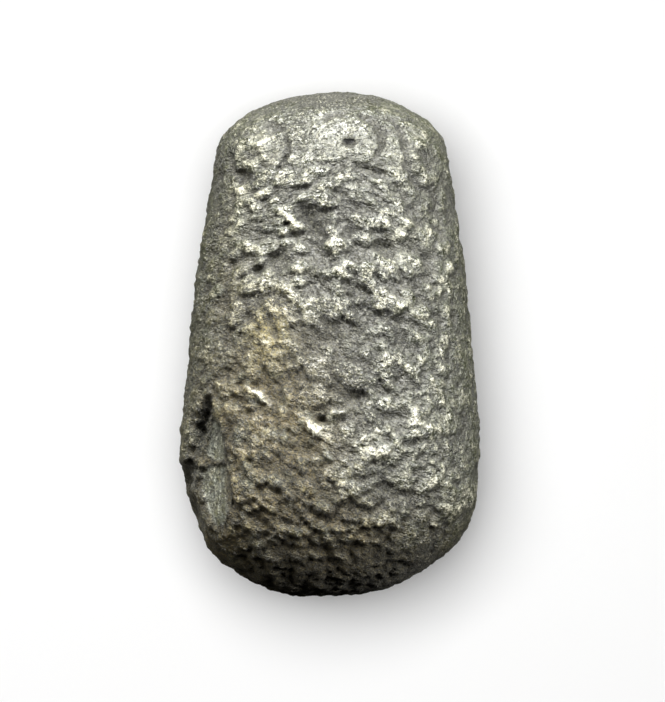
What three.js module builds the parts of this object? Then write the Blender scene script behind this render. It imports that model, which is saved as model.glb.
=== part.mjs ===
// A hand-held grinding stone, pecked and ground from one cobble of dark stone.
// It lies on its back: +Y points to the narrow grip end, +Z up out of the face, and the origin
// is under the middle of the stone, on the small flat that it rests on. Millimetres.
import * as THREE from "three";
import { mergeVertices } from "three/addons/utils/BufferGeometryUtils.js";
import { ImprovedNoise } from "three/addons/math/ImprovedNoise.js";

// Overall sizes
const LENGTH = 126;
const BROAD_WIDTH = 75; // across the working end, where the stone is widest
const SHOULDER_WIDTH = 57; // across the grip end, just before it rounds over
const RIGHT_EXTRA_WIDTH = 1.1; // how much the right flank stands out beyond the left, at the shoulder
const EXTRA_WIDTH_STARTS = 0.3; // on the way to the shoulder, where that begins
const FACE_RISE = 29.5; // from the widest line up to the top of the face
const FACE_DROP = 4; // how much lower the face is at the shoulder than at the working end
const FACE_BOW = 2.2; // how much lower the face is at both ends than in the middle
const BACK_DEPTH = 28; // from the widest line down to the back, before it was rubbed flat
const BACK_BOW = 4; // how much shallower the back is at both ends than in the middle
const RUBBED_OFF = 1.3; // what the resting flat takes off the back

// The two ends, each the length over which it rounds over, seen from above and from the side
const WORKING_END_PLAN = 30;
const WORKING_END_SIDE = 36;
const GRIP_END_PLAN = 15.5;
const GRIP_END_SIDE = 25;
const WORKING_TIP_OFFSET = -1.5; // each tip stands off the middle line by this much
const GRIP_TIP_OFFSET = 3;

// Curves: 2 is an ellipse, more is squarer
const FACE_SQUARENESS = 2.3; // of the section above the widest line
const BACK_SQUARENESS = 2.2; // of the section below it
const PLAN_SQUARENESS = 2.06; // of both ends, seen from above
const WORKING_SIDE_SQUARENESS = 2.2; // of the working end, seen from the side
const GRIP_SIDE_SQUARENESS = 2.4; // of the grip end, seen from the side
const FLANK_BOW = 1.5; // the power by which the flanks draw in towards the grip

// The net of faces that the skin is laid out on
const NET_ACROSS = 25;
const NET_ALONG = 34;
const NET_DEEP = 20;
const NET_CROWDING = 0.25; // how strongly the net closes up towards the tips

// Hollows and swells that show on the face. Places are shares of the half width and the half
// length, radii and heights shares of the length, and the turn is anticlockwise from across.
const FACE_FORMS = [
  // across, along, radius across, radius along, turn in degrees, height
  [0.07, 0.85, 0.075, 0.06, 0, 0.0055], // the boss on the crown of the grip
  [0.1, 0.66, 0.09, 0.03, -15, -0.006], // the step below it
  [-0.16, 0.78, 0.025, 0.06, 10, -0.004], // the groove on its left
  [-0.52, 0.77, 0.045, 0.05, 30, 0.006],
  [-0.56, 0.665, 0.035, 0.025, 20, -0.008],
  [0.54, 0.77, 0.035, 0.075, -10, 0.006],
  [0.54, 0.6, 0.05, 0.03, -20, -0.006],
  [-0.11, 0.5, 0.035, 0.045, -20, -0.009],
  [-0.33, 0.39, 0.055, 0.022, 20, -0.006],
  [0.37, 0.37, 0.05, 0.03, -10, -0.007],
  [0.48, 0.45, 0.035, 0.025, 0, 0.006],
  [0.68, 0.47, 0.03, 0.055, -25, -0.006],
  [-0.12, 0.29, 0.075, 0.03, 10, 0.006],
  [0.38, 0.28, 0.05, 0.025, -35, 0.005],
  [0.47, 0.17, 0.04, 0.035, 0, 0.005],
  [0.12, 0.06, 0.07, 0.05, 20, -0.004],
  [-0.37, 0.02, 0.07, 0.075, -30, 0.004],
  [0.18, -0.2, 0.045, 0.025, 5, -0.009],
  [-0.04, -0.31, 0.03, 0.025, 30, -0.006],
  [0.04, -0.4, 0.07, 0.03, -25, 0.005],
  [0.62, -0.3, 0.055, 0.06, 0, 0.004],
  [0.44, -0.55, 0.03, 0.055, 25, -0.006],
  [0.2, -0.62, 0.06, 0.04, 0, 0.004],
  [-0.4, -0.58, 0.06, 0.05, 0, 0.003],
];
const FACE_STARTS = 0.1; // the forms come in between these two upward tilts of the skin
const FACE_FULL = 0.55;

// Two flakes that broke off the left flank near the working end. Each left a shallow oval scoop
// in a plane that faces outwards. Places and half sizes are shares of the half width, the half
// length and the face's rise, and the wall is the share of the half size over which its edge
// drops. The scoop's depth is a share of the length.
const FLAKE_SCARS = [
  {
    across: -0.79,
    along: -0.5,
    up: 0.56,
    facingUp: 40, // degrees above level
    facingWorkingEnd: 2, // degrees towards the working end
    halfLength: 0.3,
    halfHeight: 0.34,
    scoop: 0.007,
    wall: 0.4,
  },
  {
    across: -0.9,
    along: -0.65,
    up: 0.06,
    facingUp: 12,
    facingWorkingEnd: 17,
    halfLength: 0.27,
    halfHeight: 0.62,
    scoop: 0.007,
    wall: 1,
  },
];

// The uneven skin all round, two sizes of swell, with sizes and heights as shares of the length
const SWELL_SIZES = [0.15, 0.07];
const SWELL_HEIGHTS = [0.006, 0.003];
const SWELL_SHIFTS = [2.1, 9.4]; // where in the noise each is taken
const SWELL_ON_FACE = 0.45; // the share of it that the face keeps between its own forms

const HALF_LENGTH = LENGTH / 2;
const HALF_WIDTH = BROAD_WIDTH / 2;
const WIDEST_LINE = BACK_DEPTH - RUBBED_OFF;
const SHOULDER = LENGTH - GRIP_END_PLAN;

// 0 at the tip, 1 where the end has opened to the full section.
function roundedEnd(distance, reach, squareness) {
  const left = 1 - THREE.MathUtils.clamp(distance / reach, 0, 1);
  return (1 - left ** squareness) ** (1 / squareness);
}

// The section at a distance from the working tip: its half widths to the left and right, the
// rise of the face, the depth of the back, and how far its middle stands off the middle line.
function sectionAt(distance) {
  const fromGrip = LENGTH - distance;
  const fromMiddle = distance / HALF_LENGTH - 1;
  const towardsGrip = Math.max(0, (distance - WORKING_END_PLAN) / (SHOULDER - WORKING_END_PLAN));
  const draw = towardsGrip ** FLANK_BOW;
  const extra = THREE.MathUtils.smoothstep(towardsGrip, EXTRA_WIDTH_STARTS, 1);
  const workingPlan = roundedEnd(distance, WORKING_END_PLAN, PLAN_SQUARENESS);
  const gripPlan = roundedEnd(fromGrip, GRIP_END_PLAN, PLAN_SQUARENESS);
  const plan = workingPlan * gripPlan;
  const side =
    roundedEnd(distance, WORKING_END_SIDE, WORKING_SIDE_SQUARENESS) *
    roundedEnd(fromGrip, GRIP_END_SIDE, GRIP_SIDE_SQUARENESS);
  const halfWidth = HALF_WIDTH - (draw * (BROAD_WIDTH - SHOULDER_WIDTH)) / 2;
  return {
    left: plan * halfWidth,
    right: plan * (halfWidth + extra * RIGHT_EXTRA_WIDTH),
    rise: side * (FACE_RISE - draw * FACE_DROP - FACE_BOW * fromMiddle * fromMiddle),
    depth: side * (BACK_DEPTH - BACK_BOW * fromMiddle * fromMiddle),
    offset:
      WORKING_TIP_OFFSET * (1 - workingPlan) ** 2 + GRIP_TIP_OFFSET * (1 - gripPlan) ** 2,
  };
}

// The distance from the middle of a section to its rim, in the direction of the angle.
function rimDistance(angle, halfWidth, height, squareness) {
  const across = Math.abs(Math.cos(angle)) / halfWidth;
  const up = Math.abs(Math.sin(angle)) / height;
  return (across ** squareness + up ** squareness) ** (-1 / squareness);
}

// A point of the net, from -1 to 1 each way on a cube's surface, spread evenly over a sphere.
function onSphere(x, y, z) {
  const [xx, yy, zz] = [x * x, y * y, z * z];
  return [
    x * Math.sqrt(1 - yy / 2 - zz / 2 + (yy * zz) / 3),
    y * Math.sqrt(1 - xx / 2 - zz / 2 + (xx * zz) / 3),
    z * Math.sqrt(1 - xx / 2 - yy / 2 + (xx * yy) / 3),
  ];
}

// That point carried onto the smooth body, before anything is carved.
function onBody(x, y, z) {
  const [across, along, up] = onSphere(x, y, z);
  const crowded = along * (1 + NET_CROWDING * (1 - along * along));
  const distance = HALF_LENGTH * (1 + THREE.MathUtils.clamp(crowded, -1, 1));
  const { left, right, rise, depth, offset } = sectionAt(distance);
  if (left * rise === 0) return [offset, distance - HALF_LENGTH, WIDEST_LINE];
  const angle = Math.atan2(up, across);
  const halfWidth = across < 0 ? left : right;
  const rim =
    up > 0
      ? rimDistance(angle, halfWidth, rise, FACE_SQUARENESS)
      : rimDistance(angle, halfWidth, depth, BACK_SQUARENESS);
  return [
    offset + rim * Math.cos(angle),
    distance - HALF_LENGTH,
    WIDEST_LINE + rim * Math.sin(angle),
  ];
}

// How far the face's own hollows and swells lift the skin at a point.
function faceForms(x, y) {
  let lift = 0;
  for (const [across, along, radiusAcross, radiusAlong, turn, height] of FACE_FORMS) {
    const angle = THREE.MathUtils.degToRad(turn);
    const dx = x - across * HALF_WIDTH;
    const dy = y - along * HALF_LENGTH;
    const u = (dx * Math.cos(angle) + dy * Math.sin(angle)) / (radiusAcross * LENGTH);
    const v = (dy * Math.cos(angle) - dx * Math.sin(angle)) / (radiusAlong * LENGTH);
    lift += height * LENGTH * Math.exp(-(u * u + v * v));
  }
  return lift;
}

// Takes a flake off: points that stand out of the scar's scoop are pushed back onto its floor.
function breakFlake(point, scar) {
  const up = THREE.MathUtils.degToRad(scar.facingUp);
  const yaw = THREE.MathUtils.degToRad(scar.facingWorkingEnd);
  const facing = new THREE.Vector3(
    -Math.cos(up) * Math.cos(yaw),
    -Math.cos(up) * Math.sin(yaw),
    Math.sin(up),
  );
  const lengthways = new THREE.Vector3(-Math.sin(yaw), Math.cos(yaw), 0);
  const upwards = facing.clone().cross(lengthways);
  const from = point
    .clone()
    .sub(
      new THREE.Vector3(
        scar.across * HALF_WIDTH,
        scar.along * HALF_LENGTH,
        WIDEST_LINE + scar.up * FACE_RISE,
      ),
    );
  const u = from.dot(lengthways) / (scar.halfLength * HALF_LENGTH);
  const v = from.dot(upwards) / (scar.halfHeight * FACE_RISE);
  const out = 1 - Math.hypot(u, v);
  if (out <= 0) return;
  const standsOut = from.dot(facing) + scar.scoop * LENGTH * (1 - u * u - v * v);
  const wall = THREE.MathUtils.smoothstep(out, 0, scar.wall);
  point.addScaledVector(facing, -wall * Math.max(0, standsOut));
}

// The broad unevenness that pecking leaves all round.
const noise = new ImprovedNoise();
function swells(x, y, z) {
  return SWELL_SIZES.reduce((sum, share, i) => {
    const size = share * LENGTH;
    const shift = SWELL_SHIFTS[i];
    const swell = noise.noise(x / size + shift, y / size + shift, z / size);
    return sum + SWELL_HEIGHTS[i] * LENGTH * swell;
  }, 0);
}

function grindingStoneGeometry() {
  const net = new THREE.BoxGeometry(2, 2, 2, NET_ACROSS, NET_ALONG, NET_DEEP);
  net.deleteAttribute("normal");
  net.deleteAttribute("uv");
  const skin = mergeVertices(net);
  const place = skin.getAttribute("position");
  for (let i = 0; i < place.count; i++) {
    place.setXYZ(i, ...onBody(place.getX(i), place.getY(i), place.getZ(i)));
  }
  skin.computeVertexNormals();

  const point = new THREE.Vector3();
  const outwards = new THREE.Vector3();
  for (let i = 0; i < place.count; i++) {
    point.fromBufferAttribute(place, i);
    outwards.fromBufferAttribute(skin.getAttribute("normal"), i);
    const onFace = THREE.MathUtils.smoothstep(outwards.z, FACE_STARTS, FACE_FULL);
    const lift =
      onFace * faceForms(point.x, point.y) +
      THREE.MathUtils.lerp(1, SWELL_ON_FACE, onFace) * swells(point.x, point.y, point.z);
    point.addScaledVector(outwards, lift);
    FLAKE_SCARS.forEach((scar) => breakFlake(point, scar));
    point.z = Math.max(point.z, 0);
    place.setXYZ(i, point.x, point.y, point.z);
  }

  // the origin goes under the middle of the finished stone
  skin.computeBoundingBox();
  const middle = skin.boundingBox.getCenter(new THREE.Vector3());
  skin.translate(-middle.x, -middle.y, 0);
  skin.computeVertexNormals();
  return skin;
}

const stone = new THREE.MeshStandardMaterial({ color: 0x5e5d52, roughness: 0.5, metalness: 0 });

const grindingTool = new THREE.Group();
const grindingStone = new THREE.Mesh(grindingStoneGeometry(), stone);
grindingStone.name = "grinding_stone";
grindingTool.add(grindingStone);

export default grindingTool;
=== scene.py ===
import math

import bmesh
import bpy
import numpy as np
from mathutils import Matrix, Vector


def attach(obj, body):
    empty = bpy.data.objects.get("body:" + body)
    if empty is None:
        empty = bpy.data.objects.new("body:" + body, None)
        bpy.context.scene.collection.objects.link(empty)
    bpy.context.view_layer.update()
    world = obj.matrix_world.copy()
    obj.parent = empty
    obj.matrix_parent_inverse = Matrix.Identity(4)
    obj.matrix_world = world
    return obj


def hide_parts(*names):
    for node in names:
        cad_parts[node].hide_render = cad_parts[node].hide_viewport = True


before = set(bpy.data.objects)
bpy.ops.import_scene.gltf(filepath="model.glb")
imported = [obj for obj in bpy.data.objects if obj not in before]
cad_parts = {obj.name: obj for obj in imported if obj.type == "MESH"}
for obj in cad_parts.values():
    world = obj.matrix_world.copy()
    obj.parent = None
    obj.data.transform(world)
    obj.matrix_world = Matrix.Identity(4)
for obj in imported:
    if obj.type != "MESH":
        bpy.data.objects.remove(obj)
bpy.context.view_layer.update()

# The place where the stone lies: a plain white table top under studio light, looked at from
# straight above. None of this is part of the stone.
MM = 0.001  # a millimetre, in metres
PICTURE_WIDTH = 665
PICTURE_HEIGHT = 702
PIXELS_PER_METRE = 4000  # at the height of the stone's widest line
STONE_IN_PICTURE = (329.5, 344.2)  # the pixel of the middle of the stone's outline
WIDEST_LINE = 26.7 * MM  # height of the stone's widest line above the table
CAMERA_DISTANCE = 0.8  # above the widest line
NEAREST_SEEN = 0.05
FARTHEST_SEEN = 20
SENSOR = 36  # in millimetres, along the picture's longer side


def set_out(name, data):
    """A new object in the scene."""
    thing = bpy.data.objects.new(name, data)
    bpy.context.collection.objects.link(thing)
    return thing


camera_data = bpy.data.cameras.new("camera")
camera_data.sensor_width = SENSOR
camera_data.lens = SENSOR * CAMERA_DISTANCE * PIXELS_PER_METRE / PICTURE_HEIGHT
camera_data.clip_start = NEAREST_SEEN
camera_data.clip_end = FARTHEST_SEEN
camera = set_out("camera", camera_data)
camera.location = (
    (PICTURE_WIDTH / 2 - STONE_IN_PICTURE[0]) / PIXELS_PER_METRE,
    (STONE_IN_PICTURE[1] - PICTURE_HEIGHT / 2) / PIXELS_PER_METRE,
    WIDEST_LINE + CAMERA_DISTANCE,
)
bpy.context.scene.camera = camera
bpy.context.scene.view_settings.view_transform = "Standard"

TABLE_HALF_SIZE = 3
TABLE_CORNERS = ((-1, -1), (1, -1), (1, 1), (-1, 1))
TABLE_WHITE = (0.9, 0.9, 0.9, 1)

table_mesh = bpy.data.meshes.new("table_top")
table_mesh.from_pydata(
    [(TABLE_HALF_SIZE * across, TABLE_HALF_SIZE * along, 0) for across, along in TABLE_CORNERS],
    [],
    [(0, 1, 2, 3)],
)
table_top = set_out("table_top", table_mesh)
white_table = bpy.data.materials.new("white_table")
white_table.use_nodes = True
white_shader = white_table.node_tree.nodes["Principled BSDF"]
white_shader.inputs["Base Color"].default_value = TABLE_WHITE
white_shader.inputs["Roughness"].default_value = 1
white_shader.inputs["Specular IOR Level"].default_value = 0
table_mesh.materials.append(white_table)
table_top.visible_diffuse = False  # a cut-out on white: the table throws no light up at the stone
table_top.visible_glossy = False

ROOM_TINT = (1, 0.96, 0.66, 1)
ROOM_STRENGTH = 0.012

world = bpy.data.worlds.new("dim_room")
world.use_nodes = True
room_light = world.node_tree.nodes["Background"]
room_light.inputs["Color"].default_value = ROOM_TINT
room_light.inputs["Strength"].default_value = ROOM_STRENGTH
bpy.context.scene.world = world

lit_stone = bpy.data.collections.new("lit_stone")
lit_table = bpy.data.collections.new("lit_table")
lit_table.objects.link(table_top)

WHITE = (1, 1, 1)
CREAM = (1.0, 0.997, 0.97)
WARM = (1.0, 0.97, 0.84)
SOFTBOXES = [
    # name, place, width, tallness, watts, what it lights up, tint
    ("key_softbox", (-0.05, 0.69, 0.53), 0.7, 0.16, 68, lit_stone, CREAM),
    ("right_softbox", (0.6, 0.22, 0.56), 0.34, 0.34, 22, lit_stone, CREAM),
    ("left_softbox", (-0.62, 0.3, 0.42), 0.34, 0.34, 8, lit_stone, WARM),
    ("table_softbox", (-0.085, 0.125, 1.0), 0.78, 0.78, 13.7, lit_table, WHITE),
]

for name, place, width, tallness, watts, lights_up, tint in SOFTBOXES:
    data = bpy.data.lights.new(name, "AREA")
    data.shape = "RECTANGLE"
    data.size = width
    data.size_y = tallness
    data.energy = watts
    data.color = tint
    lamp = set_out(name, data)
    lamp.location = place
    towards = Vector((0, 0, WIDEST_LINE)) - lamp.location
    lamp.rotation_euler = towards.to_track_quat("-Z", "Y").to_euler()
    lamp.light_linking.receiver_collection = lights_up

# The grinding stone: one cobble of dark, fine-grained stone, pecked all over with a hammerstone
# and ground smooth on its flanks by use. The solid's own skin is joined up and laid out finer
# here, so that the marks can be sunk into it.
SKIN_LEVELS = 2  # each one halves the skin's faces both ways
SAME_PLACE = 0.001 * MM
FACE_TILTS = (-0.05, 0.12)  # the face's marks come in between these, as the skin turns upwards


def as_plain_mesh(piece):
    """A piece's mesh with its modifiers worked out."""
    depsgraph = bpy.context.evaluated_depsgraph_get()
    return bpy.data.meshes.new_from_object(piece.evaluated_get(depsgraph), depsgraph=depsgraph)


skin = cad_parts["grinding_stone"].data.copy()
joined = bmesh.new()
joined.from_mesh(skin)
bmesh.ops.remove_doubles(joined, verts=joined.verts, dist=SAME_PLACE)
joined.to_mesh(skin)
joined.free()
skin.materials.clear()
rough_out = set_out("rough_out", skin)
finer = rough_out.modifiers.new("finer", "SUBSURF")
finer.levels = SKIN_LEVELS
finer.render_levels = SKIN_LEVELS
carved = as_plain_mesh(rough_out)
bpy.data.objects.remove(rough_out)
count = len(carved.vertices)


def at_each_point(what):
    """The skin's places, or the ways that it faces, as one row for each point."""
    values = np.empty(count * 3)
    carved.vertices.foreach_get(what, values)
    return values.reshape(-1, 3)


def carry(name, values):
    """Leave a share or a length on each point of the skin, for the pecking and the surface."""
    layer = carved.attributes.new(name, "FLOAT", "POINT")
    layer.data.foreach_set("value", values.astype(np.float32))


def smooth_between(low, high, value):
    """0 below low, 1 above high, and a smooth rise between."""
    share = np.clip((value - low) / (high - low), 0, 1)
    return share * share * (3 - 2 * share)


places = at_each_point("co")
outwards = at_each_point("normal")
on_face = smooth_between(*FACE_TILTS, outwards[:, 2])

# The face's marks are placed in millimetres from the middle of the stone, as it is seen from
# straight above, where what stands higher looks further out.
nearer = CAMERA_DISTANCE / (CAMERA_DISTANCE + WIDEST_LINE - places[:, 2])
x = places[:, 0] * nearer / MM
y = places[:, 1] * nearer / MM


def oval(across, along, half_length, half_width, turn):
    """1 in the middle of a turned oval, falling away smoothly to 0 outside it."""
    cosine = math.cos(math.radians(turn))
    sine = math.sin(math.radians(turn))
    u = ((x - across) * cosine + (y - along) * sine) / half_length
    v = ((y - along) * cosine - (x - across) * sine) / half_width
    return np.exp(-(u * u + v * v))


# The larger marks of the face, sunk one by one: turned ovals, which are hollows where their
# height is negative and swells where it is positive. The hollows are painted dark as painted shade.
MARK_STRENGTH = 1.5  # times the heights below
HOLLOW_SHADE = 0.75  # the share of painted shade in a hollow, for each millimetre of its height
MARKS = [
    # across, along, half length, half width, turn in degrees, height
    (4.9, 50.5, 1.5, 0.8, 0, -1.2),  # the pit in the crown
    (-21.0, 38.6, 2.2, 1.2, 0, 0.4),
    (-17.5, 49.5, 4.2, 3.8, 20, 0.35),
    (-15.0, 47.3, 1.6, 0.6, -30, -0.35),
    (-4.9, 31.0, 4.6, 1.5, -48, -0.9),
    (-9.4, 30.4, 2.4, 1.1, -42, 0.8),
    (20.5, 34.2, 2.6, 1.5, 0, -0.3),
    (13.8, 36.9, 1.8, 1.1, -20, 0.5),
    (17.5, 27.8, 3.6, 1.8, 10, 0.5),
    (14.4, 23.5, 3.4, 1.6, -20, -0.7),
    (11.5, 18.5, 3.4, 1.5, -15, 0.5),
    (5.0, 11.8, 2.2, 1.1, 0, -0.6),
    (17.5, 9.8, 3.2, 2.0, 10, 0.3),
    (28.8, 16.0, 1.5, 3.0, -10, 0.5),
    (25.0, 22.0, 1.4, 3.6, -25, -0.5),
    (-3.6, 18.5, 3.8, 1.8, 10, 0.6),
    (1.4, 24.5, 2.4, 1.2, -10, 0.5),
    (-12.0, 19.5, 2.4, 1.1, 30, -0.7),
    (-17.8, -12.8, 3.2, 1.0, -40, 0.7),
    (-14.5, -15.0, 1.8, 0.8, 0, 0.5),
    (6.4, -13.0, 3.2, 1.0, -12, -0.4),
    (2.5, -17.2, 2.8, 1.0, 15, 0.5),
    (-1.4, -19.4, 2.0, 0.9, -20, -0.4),
    (-3.6, -22.0, 2.6, 1.2, -38, 0.9),
    (-6.0, -26.0, 1.6, 0.8, 0, -0.4),
    (8.9, -24.0, 2.2, 1.1, 10, 0.6),
    (13.2, -27.0, 2.2, 1.1, 20, 0.6),
    (24.4, -21.4, 2.6, 1.3, 10, 0.5),
    (22.6, -24.6, 2.4, 1.2, 0, -0.5),
    (15.6, -36.4, 3.6, 1.6, -45, -0.6),
    (-10.6, -33.2, 2.8, 1.2, -30, -0.6),
    (3.9, -37.7, 3.4, 2.4, 0, 0.45),
    (12.6, -44.5, 3.0, 1.1, 10, 0.6),
    (33.9, -39.0, 1.8, 2.4, -30, 0.5),
    (-0.4, -13.2, 2.0, 0.9, -10, 0.5),
    (12.4, -53.0, 3.6, 1.6, 0, -0.5),
]

lift = np.zeros(count)
recess_shade = np.zeros(count)
for *area, height in MARKS:
    mark = oval(*area)
    lift += MARK_STRENGTH * height * mark
    recess_shade = np.maximum(recess_shade, -HOLLOW_SHADE * height * mark)

# The grooves: the rings round the boss on the grip end, the cracks below it and across the
# face, and the creases along the sides. Each runs out towards its ends and has painted shade along it.
GROOVE_SHADE = 0.9  # the share of painted shade in a groove a millimetre deep or deeper
GROOVE_END = 0.3  # the share of its depth that a groove still has at its ends
GROOVES = [
    # points as across, along; then half width and depth
    ([(7.5, 57.6), (11.2, 55.8), (13.2, 53.0), (13.4, 49.8), (11.6, 47.2)], 0.6, 1.6),
    ([(15.4, 56.8), (18.0, 53.0), (19.2, 49.0), (19.6, 44.0)], 0.8, 1.2),
    ([(-11.2, 52.8), (-10.4, 50.4), (-10.2, 48.0), (-11.8, 45.6), (-13.6, 43.2)], 0.6, 1.3),
    ([(-18.5, 54.6), (-14.5, 55.6), (-11.2, 52.8)], 0.6, 0.6),
    ([(-1.6, 55.8), (0.8, 57.4), (3.6, 57.8)], 0.6, 0.8),
    ([(-25.4, 48.4), (-24.2, 43.6), (-21.0, 41.0)], 0.8, 0.7),
    ([(6.4, 44.6), (9.4, 44.0), (13.4, 42.2)], 0.8, 1.8),
    ([(-23.0, 16.0), (-16.5, 20.0), (-9.5, 25.0)], 0.7, 1.1),
    ([(-26.5, 48.0), (-28.0, 40.0), (-29.0, 31.0)], 0.9, 0.35),
    ([(27.5, 46.0), (29.8, 38.0), (31.0, 28.0)], 0.9, 0.35),
]


def distance_to_path(path):
    """Each point's distance from a path, seen from above, and its share of the way along it."""
    nearest = np.full(count, np.inf)
    along = np.zeros(count)
    for step, ((x0, y0), (x1, y1)) in enumerate(zip(path, path[1:])):
        dx = x1 - x0
        dy = y1 - y0
        share = np.clip(((x - x0) * dx + (y - y0) * dy) / (dx * dx + dy * dy), 0, 1)
        away = np.hypot(x - x0 - share * dx, y - y0 - share * dy)
        closer = away < nearest
        nearest = np.where(closer, away, nearest)
        along = np.where(closer, (step + share) / (len(path) - 1), along)
    return nearest, along


for path, half_width, depth in GROOVES:
    away, along = distance_to_path(path)
    running_out = GROOVE_END + (1 - GROOVE_END) * np.sqrt(np.clip(4 * along * (1 - along), 0, 1))
    groove = running_out * np.exp(-((away / half_width) ** 2))
    lift -= depth * groove
    recess_shade = np.maximum(recess_shade, GROOVE_SHADE * min(depth, 1) * groove**2)
marked = lift * on_face

# The flake scar on the left flank: two broken facets that a blow has left, with a deep slot and
# smaller hollows beside them. Painted shade lines the facets' edges and fills the hollows.
SCAR_FACETS = [
    # the outline as across, along; then the depth
    (
        [(-29.6, -16.0), (-27.6, -20.2), (-26.4, -24.0), (-25.9, -29.0),
         (-28.9, -29.5), (-31.6, -27.7), (-30.6, -23.2), (-29.9, -19.0)],
        0.6,
    ),
    (
        [(-32.6, -31.0), (-29.1, -29.8), (-25.9, -29.8), (-25.1, -34.0), (-24.6, -37.7),
         (-25.1, -41.0), (-26.9, -46.0), (-29.4, -46.0), (-31.4, -40.2), (-32.6, -36.0)],
        0.8,
    ),
]
FACET_WALL = 0.5  # how wide the step down to a facet is
FACET_EDGE = 0.4  # half width of the painted shade along a facet's edge
FACET_EDGE_SHADE = 0.6
SCAR_HOLLOWS = [
    # across, along, half length, half width, turn in degrees; then the depth
    (-31.8, -20.4, 6.2, 1.3, 78, 2.2),
    (-35.4, -32.6, 3.6, 1.6, 95, 1.8),
    (-33.2, -42.0, 4.5, 0.8, 110, 0.7),
]
HOLLOW_WALL = (0.15, 0.75)  # the levels of the oval between which the hollow's wall goes down
SHADED_WALL = (0.05, 0.5)  # and those between which it is darkened with painted shade


def within(outline):
    """How far inside a closed outline each point lies; outside it, the distance is negative."""
    closed = outline + outline[:1]
    away, _ = distance_to_path(closed)
    crossings = np.zeros(count, dtype=int)
    for (x0, y0), (x1, y1) in zip(closed, closed[1:]):
        if y0 != y1:
            passes = (y0 > y) != (y1 > y)
            crossings += passes & (x < x0 + (x1 - x0) * (y - y0) / (y1 - y0))
    return np.where(crossings % 2 == 1, away, -away)


on_facets = np.zeros(count)
for outline, depth in SCAR_FACETS:
    inside = within(outline)
    facet = smooth_between(0, FACET_WALL, inside)
    lift -= depth * facet
    on_facets = np.maximum(on_facets, facet)
    recess_shade = np.maximum(recess_shade, FACET_EDGE_SHADE * np.exp(-((inside / FACET_EDGE) ** 2)))
for *area, depth in SCAR_HOLLOWS:
    hollow = oval(*area)
    recess_shade = np.maximum(recess_shade, smooth_between(*SHADED_WALL, hollow))
    lift -= depth * smooth_between(*HOLLOW_WALL, hollow)
scar_floor = on_facets * on_face
places += outwards * (on_face * lift * MM)[:, None]
carved.vertices.foreach_set("co", places.ravel())

# How hard each part was pecked: gently or rubbed smooth again on the flanks, the grip end and
# the floor of the scar, and hardest on the upper part of the face. The blows fell aslant, so
# the marks lean down to both sides of a line that crosses the face.
FLANK_TILTS = (0.35, 0.75)  # the skin counts as flank below these
FLANK_PECKED = 0.4
SCAR_PECKED = 0.2
PECKED_AREAS = [
    # across, along, half length, half width, turn in degrees, share of the pecking there
    (3.8, 51.5, 10.0, 8.5, 0, 0.35),  # the crown
    (0.0, 58.0, 32.0, 16.0, 0, 0.35),  # the grip end
    (23.0, 34.0, 7.0, 16.0, 0, 0.5),
    (-25.5, 32.0, 6.0, 16.0, 0, 0.55),
    (30.0, -18.0, 6.0, 20.0, 0, 0.7),
    (1.0, 22.0, 17.0, 22.0, 0, 1.5),  # the roughest
]
FINER_FROM = 14.0  # the marks get smaller below here, and are small from the next line on
FINER_BELOW = -14.0
LEAN = 0.25  # how far the marks drop along the stone, for each millimetre from that line
LEAN_LINE = (-25.0, 0.75)  # where it crosses the middle, and how it slants
LEAN_ROUND = 5.0  # in millimetres: the lean sets in over about this distance from it

on_flank = 1 - smooth_between(*FLANK_TILTS, outwards[:, 2])
pecked = 1 - (1 - FLANK_PECKED) * on_flank
for *area, share in PECKED_AREAS:
    pecked *= 1 + (share - 1) * oval(*area)
pecked *= 1 - (1 - SCAR_PECKED) * scar_floor
lean = LEAN * np.hypot(x - LEAN_LINE[0] - LEAN_LINE[1] * y, LEAN_ROUND) * MM
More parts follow.
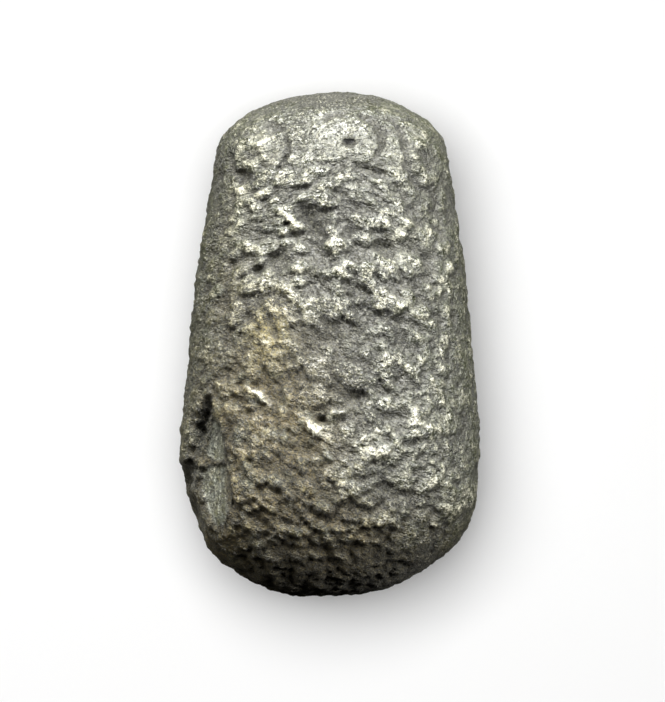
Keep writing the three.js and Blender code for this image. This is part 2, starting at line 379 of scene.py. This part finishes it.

# The stains and the crust, as shares of full strength: brown over the lower left and up the left
# flank, a spot of ochre left of the middle, pale crust and painted highlight on the rubbed parts,
# and painted shade.
BROWN_AREAS = [
    # across, along, half length, half width, turn in degrees, share
    (-17.0, -26.0, 17.0, 26.0, 0, 1.6),
    (-6.0, -52.0, 34.0, 12.0, 0, 1.1),
]
BROWN_FLANK = (-26.0, 5.0, 6.0, 26.0, 0)
BROWN_FLANK_SHARE = 0.5
OCHRE_AREA = (-15.2, 3.0, 6.0, 9.0, 0)
CRUST_HIGHLIGHT_AND_SHADE_AREAS = [
    # across, along, half length, half width, turn in degrees, share; painted shade is negative
    (3.4, 51.6, 9.0, 6.5, 0, 0.3),
    (-20.0, 32.0, 9.0, 12.0, 0, 0.4),
    (22.0, -24.0, 10.0, 17.0, 0, 0.45),
    (24.0, 26.0, 7.0, 16.0, 0, 0.35),
    # painted shade over the middle of the face
    (0.0, -6.0, 15.0, 14.0, 0, -0.45),
    (-1.0, 4.0, 4.0, 3.0, 20, -0.8),
    (5.0, -12.0, 5.0, 2.4, -20, -0.8),
    (-17.4, 47.4, 5.4, 5.4, 20, 0.8),
    (-1.8, 56.6, 3.0, 1.4, 10, 0.6),
    (15.2, 59.4, 2.6, 1.4, -30, 0.8),
    (20.6, 49.6, 1.8, 4.0, -30, 0.7),
    (17.6, 43.0, 3.6, 3.0, 0, 0.4),
    (-22.0, 37.4, 3.4, 2.6, 0, 0.6),
    (17.0, 27.6, 4.0, 3.0, 10, 0.6),
    (-9.4, 30.4, 2.8, 1.1, -42, 1.6),
    (15.5, 27.0, 2.6, 1.3, 15, 0.7),
    (-9.0, 18.0, 6.5, 3.2, 15, 0.5),
    (17.5, 9.5, 4.6, 3.0, 0, 0.3),
    (28.5, 14.0, 2.4, 6.0, 0, 0.4),
    (-15.0, 1.0, 4.0, 4.5, 0, 0.6),
    (-16.6, -13.2, 3.6, 1.3, -40, 1.5),
    (-3.6, -21.6, 3.2, 1.4, -35, 1.6),
    (9.6, -24.6, 3.0, 2.0, 20, 0.7),
    (14.6, -27.6, 3.2, 1.6, 20, 0.7),
    (3.9, -38.0, 3.0, 2.4, 0, 0.5),
    (13.6, -43.8, 3.4, 1.6, 15, 0.7),
    (34.0, -38.6, 1.6, 3.0, -35, 0.7),
    # painted shade, down to the last row: the top rim, the left flank, hollows, the bottom end, the scar's
    # edges
    (0.0, 62.0, 26.0, 3.6, 0, -1.0),
    (-29.5, 46.0, 3.0, 14.0, 0, -0.6),
    (8.0, 28.0, 5.0, 2.4, -20, -0.5),
    (-4.4, 30.8, 5.0, 2.8, -38, -0.9),
    (-20.5, 41.8, 4.0, 2.0, 0, -0.8),
    (20.5, 35.0, 4.0, 2.4, 0, -0.6),
    (-9.0, -41.0, 12.0, 3.0, -10, -0.4),
    (14.0, -37.5, 7.0, 2.6, -35, -0.6),
    (4.0, -57.0, 28.0, 7.0, 0, -1.1),
    (12.0, -52.0, 10.0, 3.0, 0, -0.4),
    (-25.9, -36.0, 1.0, 6.5, 4, -1.0),
    (-26.0, -23.0, 0.8, 5.0, -4, -0.8),
    (-29.0, -33.0, 1.6, 2.4, -20, 0.8),
]


def shares_of(areas):
    """The shares of several areas, added up where they overlap."""
    total = np.zeros(count)
    for *area, share in areas:
        total += share * oval(*area)
    return total


brown = np.maximum(np.clip(shares_of(BROWN_AREAS), 0, 1), BROWN_FLANK_SHARE * oval(*BROWN_FLANK))
carry("pecked", pecked)
carry("marked", marked)
carry("scar", scar_floor)
carry("recess_shade", recess_shade * on_face)
carry("lean", lean)
carry("finer", smooth_between(FINER_FROM, FINER_BELOW, y))
carry("brown", brown)
carry("ochre", oval(*OCHRE_AREA))
carry("crust_highlight_and_shade", shares_of(CRUST_HIGHLIGHT_AND_SHADE_AREAS) * on_face)

# The pecking, left by hundreds of blows and spread over the whole skin by rule: broad lumps,
# smaller domes with creases between them, single deep marks and grain.
LUMP_SIZE = 4.6 * MM
LUMP_HEIGHT = 0.95 * MM
DOME_SIZE = 2.8 * MM
DOME_HEIGHT = 2.8 * MM
SMALL_DOME_SIZE = 2.3 * MM
SMALL_DOME_HEIGHT = 2.4 * MM
MARK_SPACING = 3.4 * MM
MARK_RADIUS = 1.5 * MM
MARK_DEPTH = 0.65 * MM
MOST_MARKS = 0.4 / MM**2
GRAIN_SIZE = 1.4 * MM
GRAIN_HEIGHT = 0.32 * MM
DEEPEST = 1.2 * MM  # no blow goes much deeper
HIGHEST = 0.42 * MM  # what stood higher has been rubbed off
WANDER = 1.6 * MM  # how far the pattern is pulled out of true
STRETCH = (0.64, 1.1, 0.9)  # the lumps are longer across the stone than along it
PECKING_SEED = 7
RESTING_LIFT = 1.5 * MM  # the pecking fades out over this height above the table

pecking = bpy.data.node_groups.new("pecking", "GeometryNodeTree")
entries = pecking.interface
entries.new_socket("Skin", in_out="INPUT", socket_type="NodeSocketGeometry")
for name, value in (
    ("Lump size", LUMP_SIZE),
    ("Lump height", LUMP_HEIGHT),
    ("Dome size", DOME_SIZE),
    ("Dome height", DOME_HEIGHT),
    ("Small dome size", SMALL_DOME_SIZE),
    ("Small dome height", SMALL_DOME_HEIGHT),
    ("Mark spacing", MARK_SPACING),
    ("Mark radius", MARK_RADIUS),
    ("Mark depth", MARK_DEPTH),
    ("Most marks", MOST_MARKS),
    ("Grain size", GRAIN_SIZE),
    ("Grain height", GRAIN_HEIGHT),
    ("Deepest", DEEPEST),
    ("Highest", HIGHEST),
    ("Wander", WANDER),
    ("Resting lift", RESTING_LIFT),
):
    entries.new_socket(name, in_out="INPUT", socket_type="NodeSocketFloat").default_value = value
entries.new_socket("Stretch", in_out="INPUT", socket_type="NodeSocketVector").default_value = STRETCH
entries.new_socket("Seed", in_out="INPUT", socket_type="NodeSocketInt").default_value = PECKING_SEED
entries.new_socket("Stone", in_out="INPUT", socket_type="NodeSocketMaterial")
entries.new_socket("Skin", in_out="OUTPUT", socket_type="NodeSocketGeometry")

NOISE_MIDDLE = 0.5
NOISE_SPREAD = 4.0  # noise keeps to about a quarter each side of its middle


class Wiring:
    """Short ways to put nodes in a tree and join them up."""

    def __init__(self, tree):
        self.tree = tree

    def put(self, kind, settings=None, **inputs):
        """A node with its settings, and with values or other nodes' outputs on its inputs."""
        node = self.tree.nodes.new(kind)
        for key, value in (settings or {}).items():
            setattr(node, key, value)
        for key, value in inputs.items():
            self.feed(node.inputs[key.replace("_", " ")], value)
        return node

    def feed(self, socket, value):
        """Join an output to a socket, or set the socket's own value."""
        if isinstance(value, bpy.types.NodeSocket):
            self.tree.links.new(value, socket)
        else:
            socket.default_value = value

    def work_out(self, kind, operation, *values):
        """A node that works something out of the values on its first inputs."""
        node = self.put(kind, {"operation": operation})
        for socket, value in zip(node.inputs, values):
            self.feed(socket, value)
        return node

    def math(self, operation, *values):
        """Arithmetic on numbers."""
        return self.work_out("ShaderNodeMath", operation, *values).outputs[0]

    def vector(self, operation, *values):
        """Arithmetic on places, colours and directions."""
        return self.work_out("ShaderNodeVectorMath", operation, *values).outputs[0]

    def length(self, operation, *values):
        """The one number that a vector's length or the distance between two places is."""
        return self.work_out("ShaderNodeVectorMath", operation, *values).outputs["Value"]

    def scaled(self, vector, share):
        """A vector or a colour times a number."""
        return self.put("ShaderNodeVectorMath", {"operation": "SCALE"}, Vector=vector, Scale=share).outputs[0]

    def centred(self, noise):
        """Noise that goes both ways about 0."""
        return self.math("SUBTRACT", noise, NOISE_MIDDLE)

    def centred_vector(self, noise):
        """Noise in three directions that goes both ways about 0."""
        return self.vector("SUBTRACT", noise, (NOISE_MIDDLE, NOISE_MIDDLE, NOISE_MIDDLE))

    def between(self, value, low, high, to_low=0.0, to_high=1.0):
        """to_low at low, to_high at high, and a smooth run between."""
        node = self.put("ShaderNodeMapRange", {"interpolation_type": "SMOOTHSTEP"})
        for socket, entry in zip(node.inputs, (value, low, high, to_low, to_high)):
            self.feed(socket, entry)
        return node.outputs[0]


g = Wiring(pecking)
given = g.put("NodeGroupInput").outputs
here = g.put("GeometryNodeInputPosition").outputs[0]
facing = g.put("GeometryNodeInputNormal").outputs[0]


def carried(name):
    """A share or a length that the skin carries, as the pecking reads it."""
    return g.put("GeometryNodeInputNamedAttribute", {"data_type": "FLOAT"}, Name=name).outputs[0]


def one_over(name):
    """A pattern's scale from the size of its marks."""
    return g.math("DIVIDE", 1.0, given[name])


# the pattern is pulled out of true, so no mark is round, and leans with the blows
PULL_SCALE = 0.7  # the pull changes a little more slowly than the lumps do
pull_scale = g.math("MULTIPLY", PULL_SCALE, one_over("Lump size"))
pull = g.put("ShaderNodeTexNoise", Vector=here, Scale=pull_scale, Detail=1.0)
pull_aside = g.centred_vector(pull.outputs["Color"])
pulled = g.vector("ADD", here, g.scaled(pull_aside, given["Wander"]))
leaning = g.put("ShaderNodeCombineXYZ", Y=carried("lean")).outputs[0]
slanted = g.vector("MULTIPLY", g.vector("ADD", pulled, leaning), given["Stretch"])


def noise_lift(vector, size, tallness):
    """Noise that lifts and sinks the skin by about a given height."""
    noise = g.put("ShaderNodeTexNoise", Vector=vector, Scale=one_over(size), Detail=2.0)
    swing = g.math("MULTIPLY", NOISE_SPREAD, given[tallness])
    return g.math("MULTIPLY", g.centred(noise.outputs[0]), swing)


lump_lift = noise_lift(slanted, "Lump size", "Lump height")
grain_lift = noise_lift(pulled, "Grain size", "Grain height")

# the domes, which give way to the smaller ones down the face
DOME_LEVEL = 0.45  # this far from a dome's middle, as a share of its size, it meets the skin
DOME_ROUNDING = 0.3  # how softly one dome runs into the next
SMALL_DOME_STRETCH = (1.2, 1.0, 1.0)  # they are rounder than the large ones
LEAST_SMALL_DOMES = 0.25  # their share where the marks are large


def domes_of(vector, size, tallness):
    """Rounded domes with creases between them."""
    domes = g.put(
        "ShaderNodeTexVoronoi",
        {"feature": "SMOOTH_F1"},
        Vector=vector,
        Scale=one_over(size),
        Smoothness=DOME_ROUNDING,
    )
    stands_up = g.math("SUBTRACT", DOME_LEVEL, domes.outputs["Distance"])
    return g.math("MULTIPLY", stands_up, given[tallness])


large_domes = domes_of(slanted, "Dome size", "Dome height")
rounder = g.vector("MULTIPLY", slanted, SMALL_DOME_STRETCH)
small_domes = domes_of(rounder, "Small dome size", "Small dome height")
finer_here = carried("finer")
large_share = g.math("SUBTRACT", 1.0, finer_here)
small_share = g.math("ADD", LEAST_SMALL_DOMES, g.math("MULTIPLY", 1 - LEAST_SMALL_DOMES, finer_here))
dome_lift = g.math(
    "ADD", g.math("MULTIPLY", large_domes, large_share), g.math("MULTIPLY", small_domes, small_share)
)

# single deep marks, scattered with room between them, some deeper than others
MARK_DEPTHS_SIZE = 6.25 * MM  # deep and shallow marks take turns over about this distance
MARK_DEPTHS = (0.42, 0.62)  # levels of the noise at which a mark starts to show and is at its deepest
MARK_FLOOR = 0.15  # the share of its radius that is a mark's floor

marks = g.put(
    "GeometryNodeDistributePointsOnFaces",
    {"distribute_method": "POISSON"},
    Mesh=given["Skin"],
    Distance_Min=given["Mark spacing"],
    Density_Max=given["Most marks"],
    Seed=given["Seed"],
)
nearest = g.put(
    "GeometryNodeSampleNearest", {"domain": "POINT"}, Geometry=marks.outputs["Points"], Sample_Position=pulled
)
mark_place = g.put(
    "GeometryNodeSampleIndex",
    {"data_type": "FLOAT_VECTOR", "domain": "POINT"},
    Geometry=marks.outputs["Points"],
    Value=here,
    Index=nearest.outputs[0],
).outputs[0]
reach = g.math("DIVIDE", g.length("DISTANCE", pulled, mark_place), given["Mark radius"])
mark_noise = g.put("ShaderNodeTexNoise", Vector=mark_place, Scale=1 / MARK_DEPTHS_SIZE)
deep = g.between(mark_noise.outputs[0], *MARK_DEPTHS)
bowl = g.math("MULTIPLY", g.between(reach, MARK_FLOOR, 1.0, 1.0, 0.0), deep)
mark_lift = g.math("MULTIPLY", bowl, g.math("MULTIPLY", -1.0, given["Mark depth"]))

# all of it together, no deeper than a blow goes, rubbed down on top and fading out at the table
RUBBING_ROUND = 1.6  # how softly the tops are rubbed down, as a share of the highest
LEAST_GRAIN = 0.3  # the share of the grain that is left where the pecking is rubbed away

share_pecked = carried("pecked")
broad = g.math("MULTIPLY", g.math("ADD", g.math("ADD", lump_lift, dome_lift), mark_lift), share_pecked)
broad = g.math("SMOOTH_MAX", broad, g.math("MULTIPLY", -1.0, given["Deepest"]), given["Deepest"])
rubbed_round = g.math("MULTIPLY", RUBBING_ROUND, given["Highest"])
broad = g.math("SMOOTH_MIN", broad, given["Highest"], rubbed_round)
grain_share = g.math("ADD", LEAST_GRAIN, g.math("MULTIPLY", 1 - LEAST_GRAIN, share_pecked))
relief = g.math("ADD", broad, g.math("MULTIPLY", grain_lift, grain_share))
above_table = g.put("ShaderNodeSeparateXYZ", Vector=here).outputs["Z"]
relief = g.math("MULTIPLY", relief, g.between(above_table, 0.0, given["Resting lift"]))

# how high each point stands, in millimetres, stays on the skin for the surface to read
with_relief = g.put(
    "GeometryNodeStoreNamedAttribute",
    {"data_type": "FLOAT", "domain": "POINT"},
    Geometry=given["Skin"],
    Name="relief",
    Value=g.math("ADD", g.math("DIVIDE", relief, MM), carried("marked")),
).outputs[0]
moved = g.put("GeometryNodeSetPosition", Geometry=with_relief, Offset=g.scaled(facing, relief)).outputs[0]
smooth = g.put("GeometryNodeSetShadeSmooth", {"domain": "FACE"}, Geometry=moved, Shade_Smooth=True).outputs[0]
realized = g.put("GeometryNodeRealizeInstances", Geometry=smooth).outputs[0]
finished = g.put("GeometryNodeSetMaterial", Geometry=realized, Material=given["Stone"]).outputs[0]
g.put("NodeGroupOutput", Skin=finished)

# The stone's surface: dark grey-green, stained brown and ochre on the lower left, rubbed to a
# soft sheen with painted highlight on what stands up, dull with painted shade in the hollows. Its
# colours are linear.
GREY_STONE = (0.0094, 0.0103, 0.0056, 1)
BROWN_STAIN = (0.0135, 0.0092, 0.0011, 1)
OCHRE_STAIN = (0.028, 0.0215, 0.0034, 1)

stone = bpy.data.materials.new("pecked_stone")
stone.use_nodes = True
m = Wiring(stone.node_tree)
shader = stone.node_tree.nodes["Principled BSDF"]
where = m.put("ShaderNodeTexCoord").outputs["Object"]


def attribute(name):
    """A share or a length that the skin carries, as the surface reads it."""
    return m.put("ShaderNodeAttribute", {"attribute_name": name}).outputs["Fac"]


def noise_of(size, detail, roughness, shift):
    """Cloudy noise whose features are about a given size."""
    moved_to = m.vector("ADD", where, (shift, shift, shift))
    noise = m.put("ShaderNodeTexNoise", Vector=moved_to, Scale=1 / size, Detail=detail, Roughness=roughness)
    return noise.outputs[0]


def clouds(size, detail, roughness, shift, starts, full):
    """Ragged patches, from 0 outside them to 1 inside."""
    return m.between(noise_of(size, detail, roughness, shift), starts, full)


def mix(share, under, over):
    """One colour laid over another."""
    node = stone.node_tree.nodes.new("ShaderNodeMix")
    node.data_type = "RGBA"
    m.feed(node.inputs[0], share)
    m.feed(node.inputs[6], under)
    m.feed(node.inputs[7], over)
    return node.outputs[2]


stands = attribute("relief")
brown_here = attribute("brown")
ochre_here = attribute("ochre")
scar_here = attribute("scar")
crust_highlight_and_shade_here = attribute("crust_highlight_and_shade")
recess_shade_here = attribute("recess_shade")

# the stains have soaked in unevenly; clouds are the noise's size, detail, roughness and shift,
# then the levels at which they start and are full
BROWN_CLOUDS = (5 * MM, 4.0, 0.65, 0.0, 0.3, 0.62)
OCHRE_CLOUDS = (2.2 * MM, 4.0, 0.7, 0.3, 0.25, 0.5)

colour = mix(m.math("MULTIPLY", brown_here, clouds(*BROWN_CLOUDS)), GREY_STONE, BROWN_STAIN)
colour = mix(m.math("MULTIPLY", ochre_here, clouds(*OCHRE_CLOUDS)), colour, OCHRE_STAIN)

# the scar's fresher stone is clouded with green and streaked pale down its length
SCAR_STONE = (0.022, 0.025, 0.021, 1)
SCAR_GREEN = (0.018, 0.0195, 0.0100, 1)
SCAR_PALE = (0.085, 0.088, 0.076, 1)
SCAR_CLOUDS = (3.5 * MM, 3.0, 0.6, 0.2, 0.42, 0.6)
SCAR_STREAKS = (1 / (0.7 * MM), 1 / (2.6 * MM), 1 / (1.2 * MM))  # fine across, long down the scar
STREAK_LEVELS = (0.46, 0.64, 0.0, 0.75)  # two levels of the noise, and the share of pale at each
SCAR_FRESH = 0.85  # how much the fresh stone hides what is round it

scar_colour = mix(clouds(*SCAR_CLOUDS), SCAR_STONE, SCAR_GREEN)
along_scar = m.vector("MULTIPLY", where, SCAR_STREAKS)
streak_noise = m.put("ShaderNodeTexNoise", Vector=along_scar, Scale=1.0, Detail=3.0, Roughness=0.6)
streaks = m.between(streak_noise.outputs[0], *STREAK_LEVELS)
scar_colour = mix(streaks, scar_colour, SCAR_PALE)
colour = mix(m.math("MULTIPLY", SCAR_FRESH, scar_here), colour, scar_colour)

# pale bruised grain and crust with painted highlight, in patches on what stands up and whole where
# the crust is thick; on stained stone the grain is ochre, where no crust covers it
PALE_GRAIN_AND_HIGHLIGHT = (0.145, 0.141, 0.112, 1)
OCHRE_PALE = (0.054, 0.041, 0.0098, 1)
CRUST_COVERS = (0.1, 0.9, 1.0, 0.0)  # two shares of crust, and how bare the stone is at each
STAINED_GRAIN = 0.75  # how much the stain colours the grain
PALE_CLOUDS = (1.8 * MM, 5.0, 0.65, 0.7, 0.46, 0.58)
PALE_AND_HIGHLIGHT_BY_HEIGHT = (-0.1, 0.5, 0.04, 0.55)  # two heights in millimetres, and the share at each
THICK_CRUST_HIGHLIGHT = 0.6  # from this share up, the crust and painted highlight close between the patches
CRUST_HIGHLIGHT_PALE = 0.45  # what a full crust and painted highlight add to the share of pale

bare = m.between(crust_highlight_and_shade_here, *CRUST_COVERS)
stained = m.math("MULTIPLY", STAINED_GRAIN, m.math("MAXIMUM", brown_here, ochre_here))
pale_colour = mix(m.math("MULTIPLY", bare, stained), PALE_GRAIN_AND_HIGHLIGHT, OCHRE_PALE)
pale_patch = m.math("MAXIMUM", clouds(*PALE_CLOUDS), m.math("SUBTRACT", crust_highlight_and_shade_here, THICK_CRUST_HIGHLIGHT))
pale_and_highlight_most = m.math("ADD", m.between(stands, *PALE_AND_HIGHLIGHT_BY_HEIGHT), m.math("MULTIPLY", CRUST_HIGHLIGHT_PALE, crust_highlight_and_shade_here))
pale_and_highlight_share = m.math("MULTIPLY", pale_patch, m.math("MAXIMUM", 0.0, pale_and_highlight_most))
colour = mix(pale_and_highlight_share, colour, pale_colour)

# small dark pits, closer together in some patches than in others, and fewer under the crust
DIRT_AND_SHADE = (0.0034, 0.0032, 0.0011, 1)
PIT_NOISE = (0.8 * MM, 4.0, 0.6, 2.3)
WEAR_NOISE = (8 * MM, 2.0, 0.5, 1.1)
WEAR_SHIFT = 0.4  # how much the worn patches count towards the pits
CRUST_SHIFT = 0.1  # how much a full crust takes away from them
PIT_LEVELS = (0.54, 0.66)  # levels at which a pit starts and is dark all through
PIT_DIRT = 0.85

wear = m.math("MULTIPLY", WEAR_SHIFT, m.centred(noise_of(*WEAR_NOISE)))
pit_noise = m.math("ADD", noise_of(*PIT_NOISE), wear)
pit_noise = m.math("SUBTRACT", pit_noise, m.math("MULTIPLY", CRUST_SHIFT, crust_highlight_and_shade_here))
pits = m.between(pit_noise, *PIT_LEVELS)
colour = mix(m.math("MULTIPLY", PIT_DIRT, pits), colour, DIRT_AND_SHADE)

# painted shade in the hollows of the pecking and of the larger marks, brown where the stone is,
# and over the shaded skin
BROWN_SHADE = (0.0110, 0.0078, 0.0012, 1)
SHADE_BY_HEIGHT = (0.05, -0.7, 0.0, 0.88)  # two heights in millimetres, and the share at each
SHADED_SKIN_SHARE = 0.8

shade_colour = mix(brown_here, DIRT_AND_SHADE, BROWN_SHADE)
colour = mix(m.between(stands, *SHADE_BY_HEIGHT), colour, shade_colour)
shaded_skin = m.math("MAXIMUM", 0.0, m.math("MULTIPLY", -1.0, crust_highlight_and_shade_here))
colour = mix(m.math("MULTIPLY", SHADED_SKIN_SHARE, shaded_skin), colour, shade_colour)
colour = mix(recess_shade_here, colour, DIRT_AND_SHADE)

# the stone's crystals, each one lighter or darker than the next and some of them pale, fewer of
# those in the scar and, as painted shade, in the hollows
CRYSTAL_SIZE = 0.3 * MM
CRYSTAL_TONES = (0.5, 2.0)  # the darkest and the lightest, as shares of the stone's colour
PLAIN_CRYSTALS = 0.72  # the share of the crystals that isn't pale
PALE_CRYSTALS_BY_HEIGHT = (-0.4, 0.45, 0.2, 0.75)
SCAR_CRYSTALS_LOST = 0.6  # the share of the pale ones that the scar lacks

crystals = m.put("ShaderNodeTexVoronoi", Vector=where, Scale=1 / CRYSTAL_SIZE).outputs["Color"]
crystal = m.put("ShaderNodeSeparateColor", Color=crystals)
tone = m.between(crystal.outputs[2], 0.0, 1.0, *CRYSTAL_TONES)
pale_crystal = m.between(crystal.outputs[0], PLAIN_CRYSTALS, 1.0)
pale_crystal = m.math("MULTIPLY", pale_crystal, m.between(stands, *PALE_CRYSTALS_BY_HEIGHT))
left_in_scar = m.math("SUBTRACT", 1.0, m.math("MULTIPLY", SCAR_CRYSTALS_LOST, scar_here))
pale_crystal = m.math("MULTIPLY", pale_crystal, left_in_scar)
colour = mix(pale_crystal, m.scaled(colour, tone), pale_colour)

# painted shadow: the deep pit in the crown of the grip end, painted black with a ragged edge
PIT_SHADOW = (0.001, 0.001, 0.0008, 1)
CROWN_PIT = (4.8 * MM, 49.3 * MM, 55 * MM)
CROWN_PIT_RADII = (1.4 * MM, 0.65 * MM, 20 * MM)
PIT_EDGE = (0.75, 1.15, 1.0, 0.0)  # two shares of its radii, and how black it is at each
EDGE_NOISE = (0.9 * MM, 2.0, 0.5, 0.0)
EDGE_RAGGED = 0.8

out_of_pit = m.vector("DIVIDE", m.vector("SUBTRACT", where, CROWN_PIT), CROWN_PIT_RADII)
ragged = m.math("MULTIPLY", EDGE_RAGGED, m.centred(noise_of(*EDGE_NOISE)))
crown_pit = m.between(m.math("ADD", m.length("LENGTH", out_of_pit), ragged), *PIT_EDGE)
colour = mix(crown_pit, colour, PIT_SHADOW)
m.feed(shader.inputs["Base Color"], colour)

# the sheen: what stands up has been rubbed, and stains, crust, painted shade and pits are duller
DULL = 0.58
RUBBED = 0.3
ROUGHNESS_BY_HEIGHT = (-0.35, 0.3, DULL, RUBBED)
DULLER = [
    # where, and how much rougher
    (m.math("MULTIPLY", bare, brown_here), 0.27),
    (ochre_here, 0.16),
    (pits, 0.3),
    (m.math("MAXIMUM", 0.0, crust_highlight_and_shade_here), 0.07),
    (shaded_skin, 0.12),
    (crown_pit, 0.5),
    (recess_shade_here, 0.4),
]
CRYSTAL_SHEEN = (0.8, 1.25)  # the roughness of the glossiest and the dullest crystal, as shares

roughness = m.between(stands, *ROUGHNESS_BY_HEIGHT)
for share, rougher in DULLER:
    roughness = m.math("ADD", roughness, m.math("MULTIPLY", rougher, share))
uneven = m.between(crystal.outputs[1], 0.0, 1.0, *CRYSTAL_SHEEN)
m.feed(shader.inputs["Roughness"], m.math("MULTIPLY", roughness, uneven))

# the finest relief: grain that follows the pecking, the small pits in it, and crystals whose
# faces are each turned their own way
FINE_GRAIN_SIZE = 1.4 * MM
FINE_GRAIN_HEIGHT = 1.0 * MM
PIT_DEPTH = 0.5  # of the height of the fine grain
GRAIN_BY_PECKING = (0.0, 0.5, 0.15, 1.0)  # two shares of pecking, and of the grain at each
GRAIN_BY_HEIGHT = (-0.3, 0.6, 1.2, 0.75)
CRYSTAL_TILT = 0.4  # how far the crystals' faces are turned out of the skin
TILT_BY_HEIGHT = (-0.4, 0.5, 1.25, 0.6)

aslant = m.put("ShaderNodeCombineXYZ", Y=attribute("lean")).outputs[0]
along_blows = m.vector("MULTIPLY", m.vector("ADD", where, aslant), STRETCH)
fine_grain = m.put(
    "ShaderNodeTexNoise", Vector=along_blows, Scale=1 / FINE_GRAIN_SIZE, Detail=3.0, Roughness=0.6
)
grain_height = m.math("SUBTRACT", fine_grain.outputs[0], m.math("MULTIPLY", PIT_DEPTH, pits))
grain_height = m.math("MULTIPLY", grain_height, m.between(attribute("pecked"), *GRAIN_BY_PECKING))
grain_height = m.math("MULTIPLY", grain_height, m.between(stands, *GRAIN_BY_HEIGHT))
grain_height = m.math("SUBTRACT", grain_height, crown_pit)
bump = m.put("ShaderNodeBump", Strength=1.0, Distance=FINE_GRAIN_HEIGHT, Height=grain_height)
turned_by = m.math("MULTIPLY", CRYSTAL_TILT, m.between(stands, *TILT_BY_HEIGHT))
turned = m.vector("ADD", bump.outputs[0], m.scaled(m.centred_vector(crystals), turned_by))
m.feed(shader.inputs["Normal"], m.vector("NORMALIZE", turned))

# The finished stone: the carved skin with the pecking sunk into it, made one plain mesh that
# takes the solid's place.
pecked_stone = set_out("pecked_stone", carved)
pecker = pecked_stone.modifiers.new("pecking", "NODES")
pecker.node_group = pecking
for item in entries.items_tree:
    if item.in_out == "INPUT" and item.name == "Stone":
        pecker[item.identifier] = stone
finished_mesh = as_plain_mesh(pecked_stone)
pecked_stone.modifiers.remove(pecker)
pecked_stone.data = finished_mesh
lit_stone.objects.link(pecked_stone)

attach(pecked_stone, "root")
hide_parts("grinding_stone")
